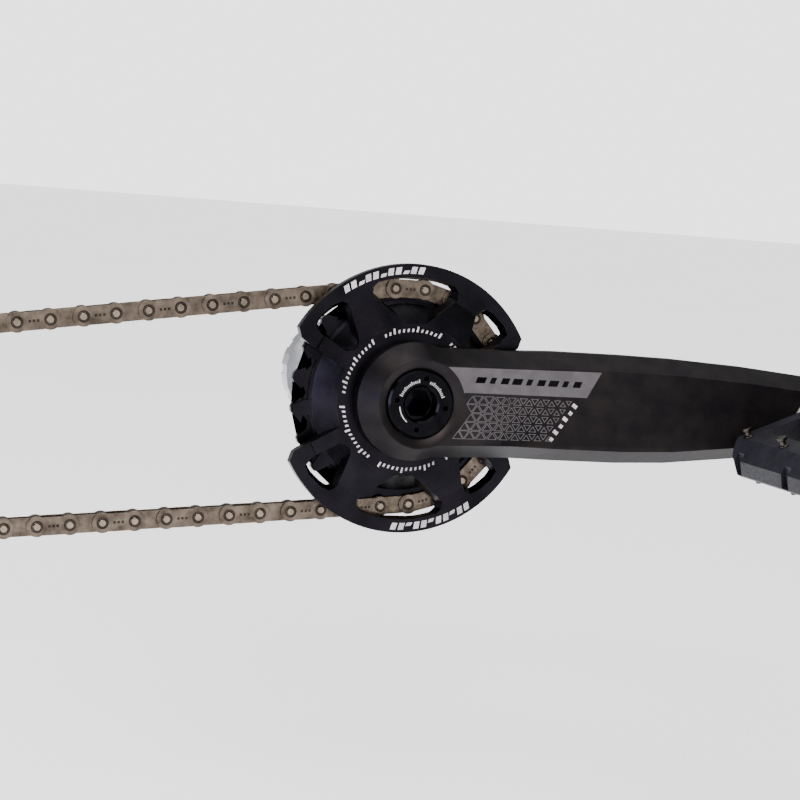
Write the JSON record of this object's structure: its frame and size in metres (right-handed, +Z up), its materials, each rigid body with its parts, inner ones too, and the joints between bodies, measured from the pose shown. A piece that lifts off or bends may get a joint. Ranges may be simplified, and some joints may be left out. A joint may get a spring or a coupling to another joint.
{
  "type": "bicycle crankset",
  "caption": "Drive side of a bicycle crankset: single chainring with a built-in windowed guard, hollow spindle in a bottom bracket, crank arm, platform pedal and the chain on its teeth",
  "frame": {"origin": "centre of the frame's bottom bracket shell, on the spindle's axis", "axes": "+X towards the front of the bicycle and along the crank arm at rest, +Y from the drive side to the other side along the spindle, +Z up"},
  "size_m": [0.4159, 0.2547, 0.118],
  "materials": {
    "anodised_black": "black anodised aluminium, machined",
    "blasted_black": "black anodised aluminium, bead blasted",
    "lockring_black": "black anodised aluminium, turned",
    "spindle_steel": "hard steel, ground bright",
    "bolt_black": "black anodised aluminium",
    "gloss_black": "glossy black anodised aluminium",
    "cup_black": "black anodised aluminium, turned",
    "cup_silver": "clear anodised aluminium, turned",
    "nylon_grey": "moulded nylon",
    "seal_rubber": "moulded rubber",
    "bearing_steel": "polished bearing steel",
    "chain_nickel": "nickel plated steel, used",
    "pedal_nylon": "black nylon, moulded, fine grain",
    "bushing_bronze": "sintered bronze",
    "axle_steel": "plated steel, turned",
    "pin_steel": "plated steel"
  },
  "bodies": {
    "frame_side": {"bb_cup_drive": "cup_silver", "bearing_outer_race_drive": "bearing_steel", "bearing_seal_drive": "seal_rubber", "bb_cup_nondrive": "cup_silver", "bearing_outer_race_nondrive": "bearing_steel", "bearing_seal_nondrive": "seal_rubber", "bb_sleeve": "nylon_grey", "chain_wrap_outboard": "chain_nickel", "chain_wrap_inboard": "chain_nickel", "chain_upper_run": "chain_nickel", "chain_lower_run": "chain_nickel"},
    "crank": {"chainring_guard": "anodised_black", "chainring_lockring": "lockring_black", "drive_crank_arm": "blasted_black", "spindle": "spindle_steel", "crank_bolt": "bolt_black", "extractor_ring": "gloss_black", "bearing_inner_race_drive": "bearing_steel", "bearing_inner_race_nondrive": "bearing_steel", "dust_ring_drive": "cup_black", "dust_ring_nondrive": "cup_silver", "pedal_washer": "axle_steel", "pedal_axle": "axle_steel", "pedal_axle_nut": "axle_steel"},
    "pedal": {"pedal_platform": "pedal_nylon", "pedal_end_cap": "pedal_nylon", "pedal_bushing": "bushing_bronze", "pedal_seal": "seal_rubber", "pedal_bearing": "bearing_steel", "pedal_pin_top_1": "pin_steel", "pedal_pin_top_2": "pin_steel", "pedal_pin_top_3": "pin_steel", "pedal_pin_top_4": "pin_steel", "pedal_pin_top_5": "pin_steel", "pedal_pin_top_6": "pin_steel", "pedal_pin_top_7": "pin_steel", "pedal_pin_top_8": "pin_steel", "pedal_pin_under_1": "pin_steel", "pedal_pin_under_2": "pin_steel", "pedal_pin_under_3": "pin_steel", "pedal_pin_under_4": "pin_steel", "pedal_pin_under_5": "pin_steel", "pedal_pin_under_6": "pin_steel", "pedal_pin_under_7": "pin_steel", "pedal_pin_under_8": "pin_steel"},
    "balls_drive": {"bearing_balls_drive": "bearing_steel"},
    "balls_nondrive": {"bearing_balls_nondrive": "bearing_steel"}
  },
  "joints": [
    {"name": "crank_spin", "type": "hinge", "parent": "frame_side", "child": "crank", "pos_m": [0, 0, 0], "axis": [0, 1, 0], "continuous": true},
    {"name": "pedal_spin", "type": "hinge", "parent": "crank", "child": "pedal", "pos_m": [0.175, 0, 0], "axis": [0, 1, 0], "continuous": true},
    {"name": "balls_drive_spin", "type": "hinge", "parent": "frame_side", "child": "balls_drive", "pos_m": [0, 0, 0], "axis": [0, 1, 0], "continuous": true},
    {"name": "balls_nondrive_spin", "type": "hinge", "parent": "frame_side", "child": "balls_nondrive", "pos_m": [0, 0, 0], "axis": [0, 1, 0], "continuous": true}
  ],
  "couplings": [
    {"joint": "balls_drive_spin", "follows": "crank_spin", "ratio": 0.4547},
    {"joint": "balls_nondrive_spin", "follows": "crank_spin", "ratio": 0.4547}
  ]
}
